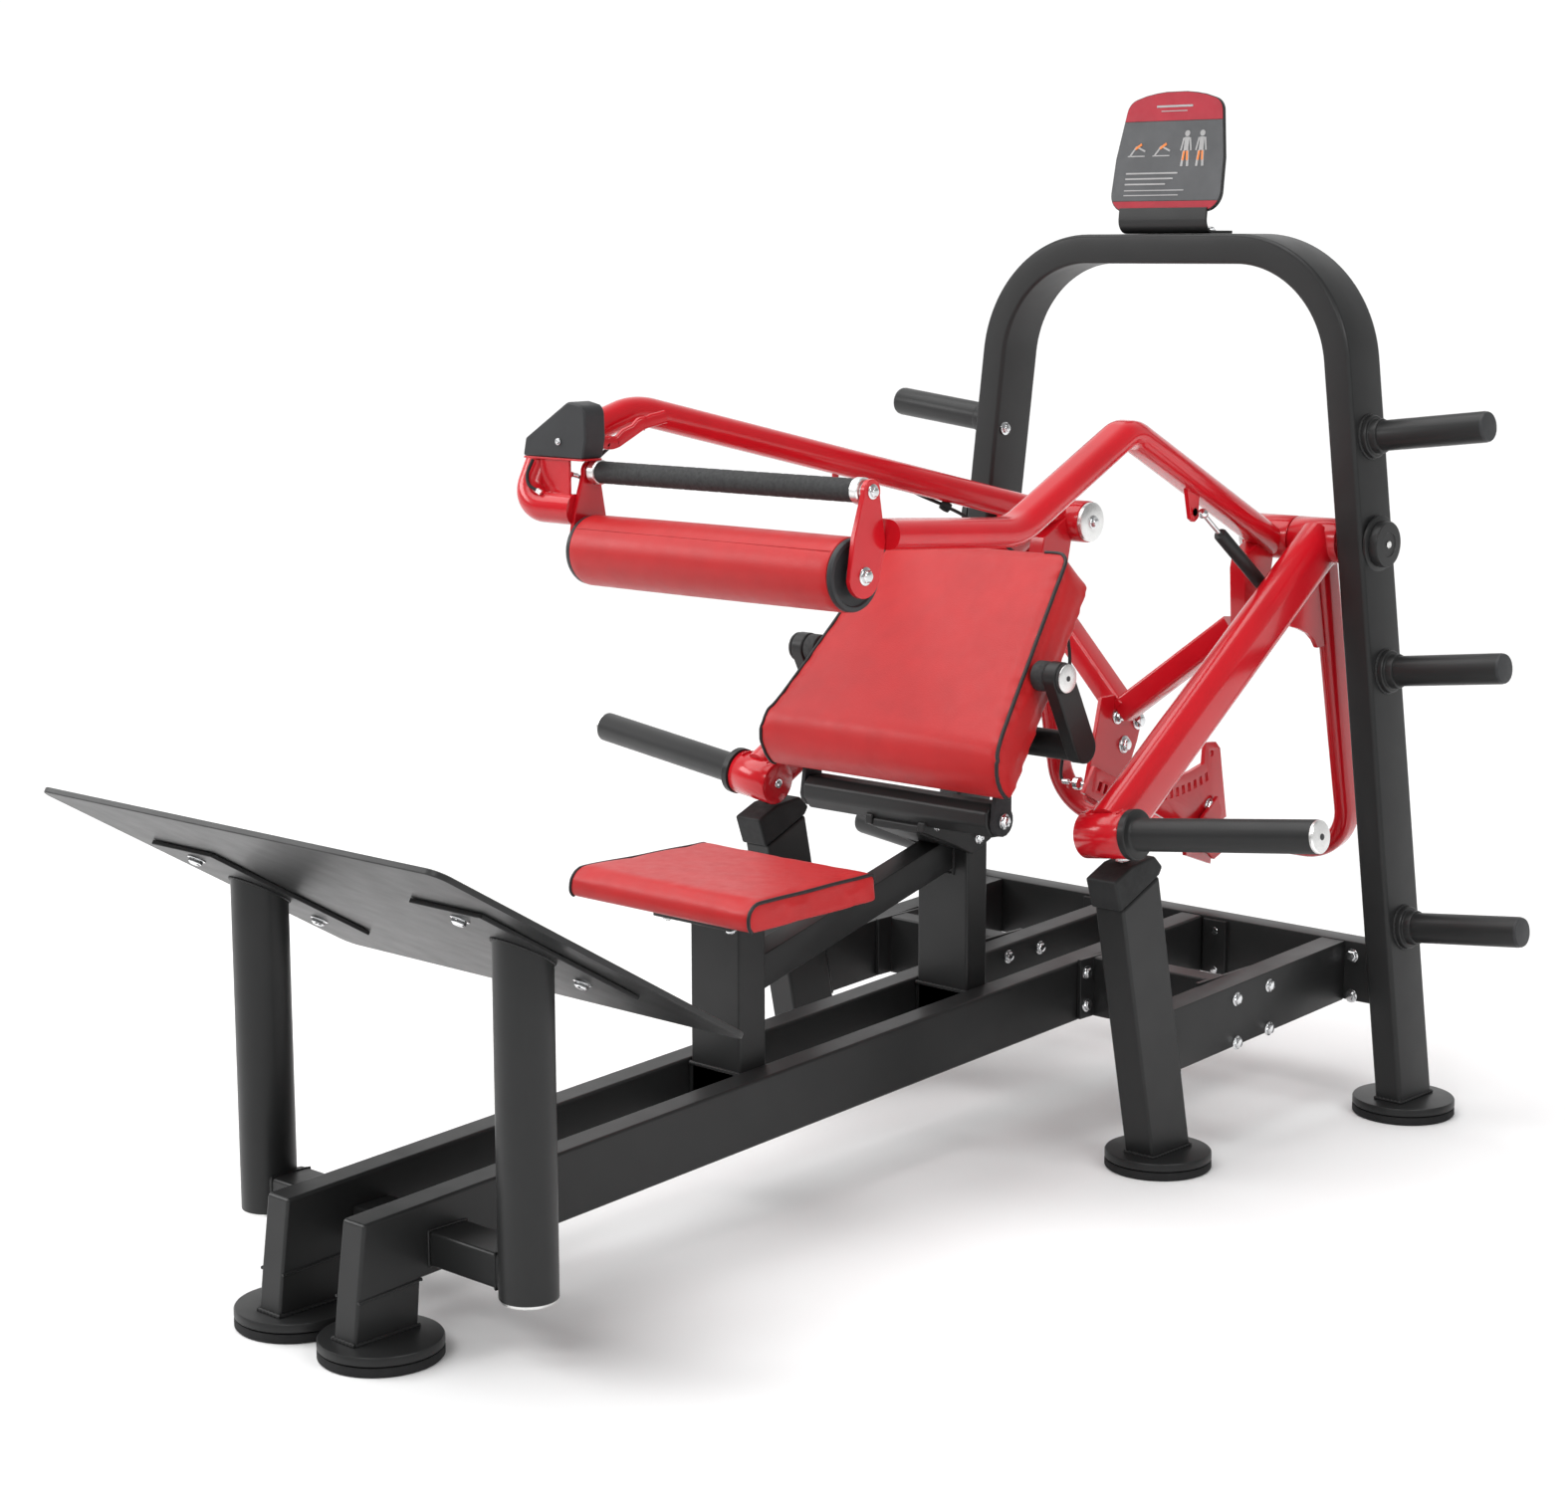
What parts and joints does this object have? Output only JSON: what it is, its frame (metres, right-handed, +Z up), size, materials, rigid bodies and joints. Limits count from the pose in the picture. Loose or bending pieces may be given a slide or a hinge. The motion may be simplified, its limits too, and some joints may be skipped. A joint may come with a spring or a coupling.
{
  "type": "hip thrust machine",
  "caption": "Plate-loaded hip thrust machine: tilted foot plate, low seat, hinged back pad, hip roller on a pivoting yoke, weight arms and a rear arch with storage horns.",
  "frame": {"origin": "centre of the whole machine's box, on the floor", "axes": "+Z up, +Y from the foot plate to the arch, +X to the right as seen from the foot plate"},
  "size_m": [1.445, 2.158, 1.6473],
  "materials": {
    "black_paint": "satin powder coat",
    "red_paint": "gloss",
    "red_vinyl": "satin grained vinyl",
    "black_board": "matte",
    "foot_rubber": "matte",
    "bumper_rubber": "matte",
    "grip_rubber": "matte",
    "cable_sleeve": "satin",
    "bright_steel": "polished",
    "placard_print": "satin print",
    "black_plastic": "satin"
  },
  "bodies": {
    "frame": {"main_rail_right": "black_paint", "main_rail_left": "black_paint", "foot_front_right": "foot_rubber", "foot_front_left": "foot_rubber", "foot_middle_right": "foot_rubber", "foot_middle_left": "foot_rubber", "foot_rear_right": "foot_rubber", "foot_rear_left": "foot_rubber", "plate_post_right": "black_paint", "plate_post_left": "black_paint", "foot_plate": "black_paint", "seat_post": "black_paint", "seat_board": "black_board", "seat_pad": "red_vinyl", "back_post": "black_paint", "brace_tube": "black_paint", "stop_post_right": "black_paint", "stop_post_left": "black_paint", "bumper_block_right": "bumper_rubber", "bumper_block_left": "bumper_rubber", "side_beam_right": "black_paint", "side_beam_left": "black_paint", "cross_beam_right": "black_paint", "cross_beam_left": "black_paint", "rear_beam": "black_paint", "arch_frame": "black_paint", "placard": "placard_print", "storage_horn_top_right": "black_paint", "storage_horn_top_left": "black_paint", "storage_horn_mid_right": "black_paint", "storage_horn_mid_left": "black_paint", "storage_horn_low_right": "black_paint", "storage_horn_low_left": "black_paint", "stub_axle_right": "bright_steel", "stub_axle_left": "bright_steel"},
    "weight_arm": {"weight_arm_right": "red_paint", "weight_arm_left": "red_paint", "weight_horn_right": "black_paint", "weight_horn_left": "black_paint", "u_tube": "red_paint", "sector_plate": "red_paint"},
    "hip_yoke": {"yoke_right": "red_paint", "yoke_left": "red_paint", "v_frame": "red_paint", "roller_bracket_right": "red_paint", "roller_bracket_left": "red_paint", "grip_bar": "grip_rubber", "lever_cover": "black_plastic", "release_cable": "cable_sleeve"},
    "roller": {"hip_roller": "red_vinyl"},
    "back_rest": {"back_pad": "red_vinyl", "back_board": "black_board", "pad_handle_bar": "black_paint", "pad_handle_right": "grip_rubber", "pad_handle_left": "grip_rubber"},
    "release_lever": {"release_lever": "red_paint"},
    "pull_pin": {"pull_pin": "bright_steel"},
    "gas_cylinder": {"gas_cylinder": "black_paint"},
    "gas_rod": {"gas_rod": "bright_steel"}
  },
  "joints": [
    {"name": "weight_arm_pivot", "type": "hinge", "parent": "frame", "child": "weight_arm", "pos_m": [0, 0.895, 0.926], "axis": [-1, 0, 0], "range_deg": [0, 35]},
    {"name": "yoke_pivot", "type": "hinge", "parent": "weight_arm", "child": "hip_yoke", "pos_m": [0, 0.895, 0.926], "axis": [1, 0, 0], "range_deg": [0, 18]},
    {"name": "roller_spin", "type": "hinge", "parent": "hip_yoke", "child": "roller", "pos_m": [0, -0.206, 0.956], "axis": [1, 0, 0], "continuous": true},
    {"name": "back_rest_hinge", "type": "hinge", "parent": "frame", "child": "back_rest", "pos_m": [0, 0.205, 0.546], "axis": [1, 0, 0], "range_deg": [0, 15]},
    {"name": "release_lever_hinge", "type": "hinge", "parent": "hip_yoke", "child": "release_lever", "pos_m": [-0.33, -0.139, 1.112], "axis": [1, 0, 0], "range_deg": [0, 12], "stiffness_Nm_per_rad": 1.5, "springref_deg": -11.46},
    {"name": "pull_pin_slide", "type": "slide", "parent": "hip_yoke", "child": "pull_pin", "axis": [-1, 0, 0], "range_m": [0, 0.012]},
    {"name": "gas_spring_foot", "type": "hinge", "parent": "weight_arm", "child": "gas_cylinder", "pos_m": [0.269, 0.787, 0.85], "axis": [1, 0, 0], "range_deg": [0, 25]},
    {"name": "gas_spring_stroke", "type": "slide", "parent": "gas_cylinder", "child": "gas_rod", "axis": [-0.0505, -0.7799, 0.6239], "range_m": [-0.038, 0]}
  ],
  "couplings": [
    {"joint": "pull_pin_slide", "follows": "release_lever_hinge", "m_per_rad": 0.057},
    {"joint": "gas_spring_foot", "follows": "yoke_pivot", "ratio": 1.31},
    {"joint": "gas_spring_stroke", "follows": "yoke_pivot", "m_per_rad": -0.116}
  ]
}
